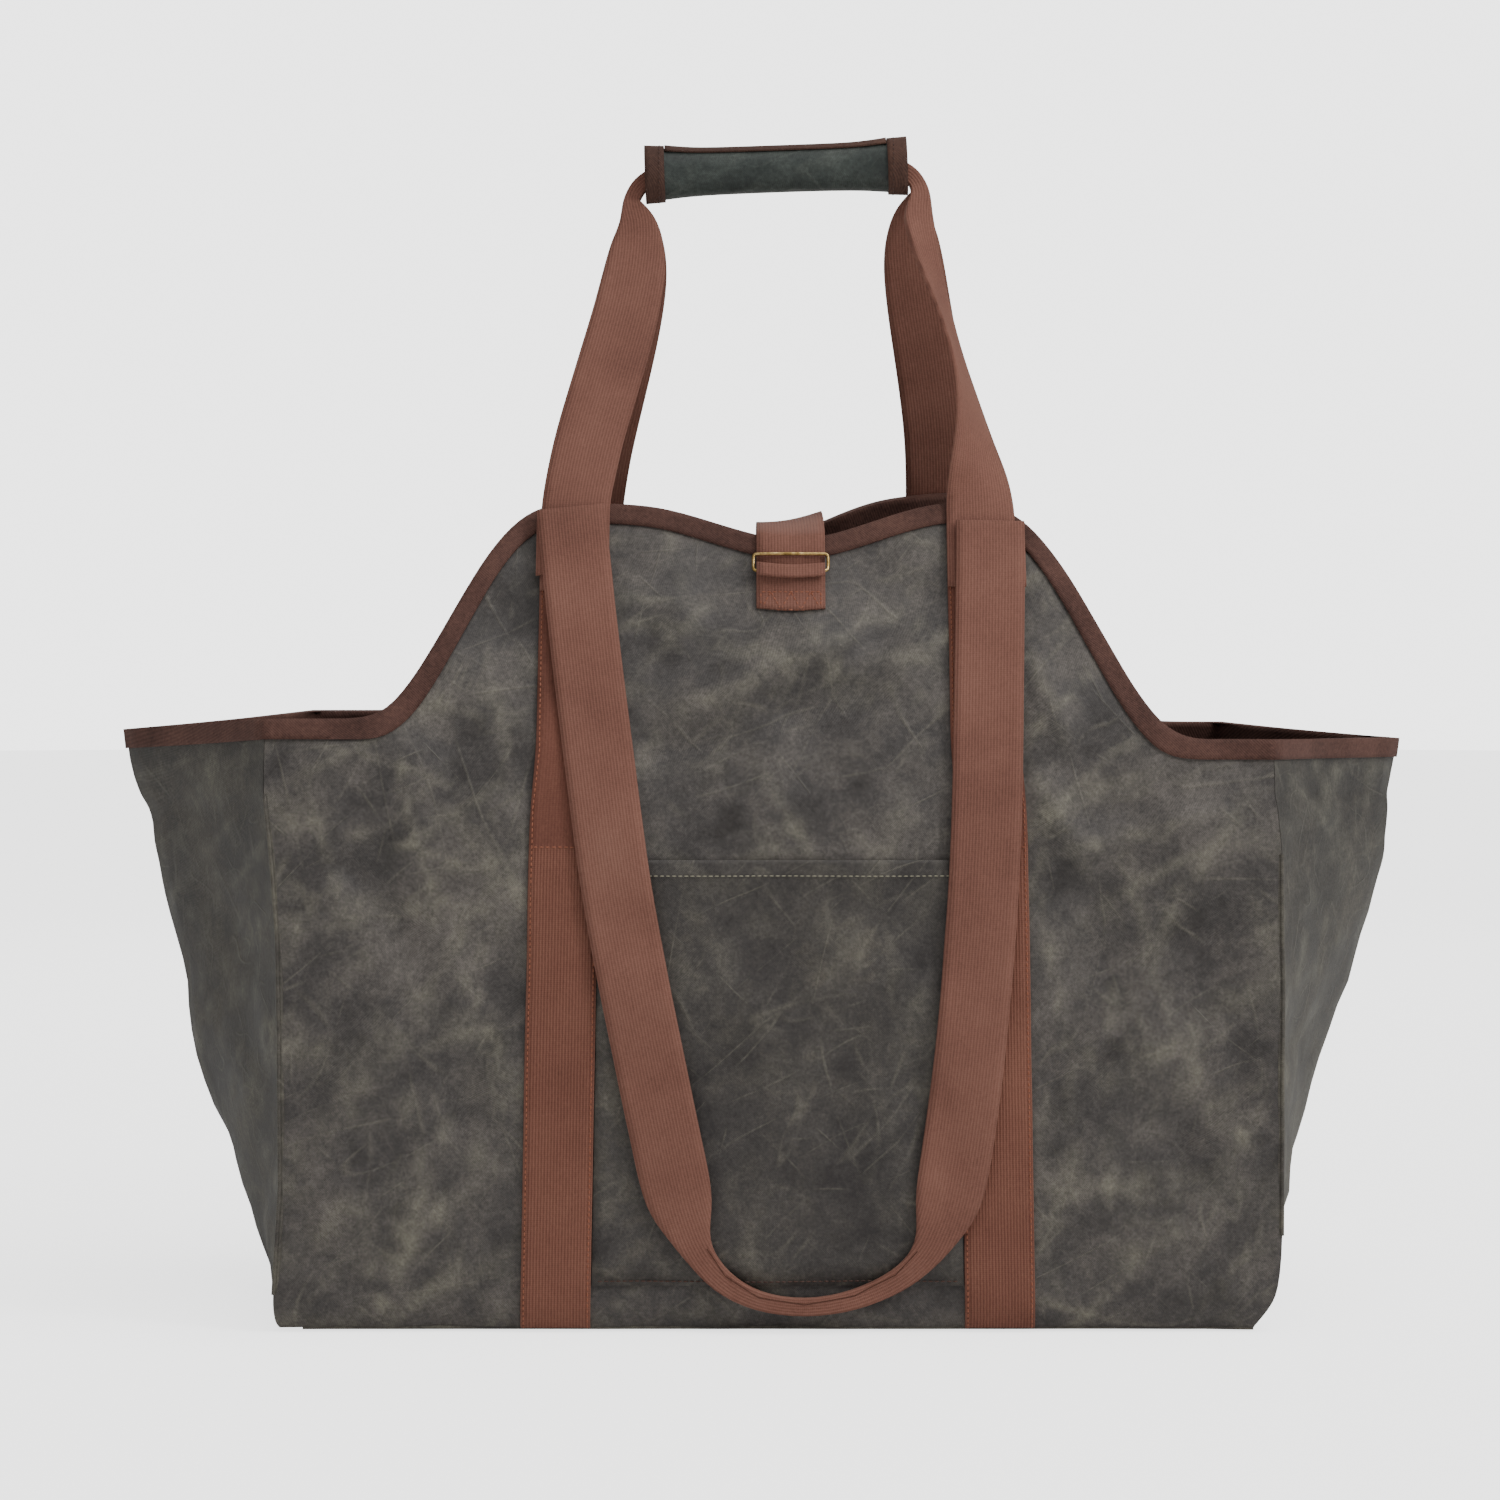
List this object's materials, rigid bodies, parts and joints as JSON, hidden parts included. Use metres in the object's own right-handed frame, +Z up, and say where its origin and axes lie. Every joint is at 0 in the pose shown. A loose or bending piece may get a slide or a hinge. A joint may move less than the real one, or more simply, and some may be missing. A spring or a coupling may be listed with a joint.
{
  "type": "canvas log carrier",
  "caption": "Open waxed-canvas carrier bag with folded-out ends, webbing girth straps, a wrapped carry grip, long shoulder handles and a ring closure.",
  "frame": {"origin": "middle of the wrapped grip, where a hand or hook holds the bag up", "axes": "+X along the bag to its right end, +Y from the front panel with the pocket to the back panel, +Z up"},
  "size_m": [0.733, 0.2967, 0.6647],
  "materials": {
    "canvas": "waxed, mottled, satin",
    "webbing": "ribbed, matt",
    "binding": "woven tape, matt",
    "grip_canvas": "waxed, satin",
    "brass": "antique, satin"
  },
  "bodies": {
    "root": {"front_panel": "canvas", "back_panel": "canvas", "end_gusset_left": "canvas", "end_gusset_right": "canvas", "base_panel": "canvas", "front_pocket": "canvas", "rim_binding": "binding", "girth_strap_left": "webbing", "girth_strap_right": "webbing", "carry_handle_front": "webbing", "carry_handle_back": "webbing", "shoulder_handle_front": "webbing", "shoulder_handle_back": "webbing", "grip_wrap": "grip_canvas", "grip_binding_left": "binding", "grip_binding_right": "binding", "grip_binding_edge": "binding", "closure_strap": "webbing", "closure_tab": "webbing", "closure_buckle": "brass"}
  },
  "joints": []
}
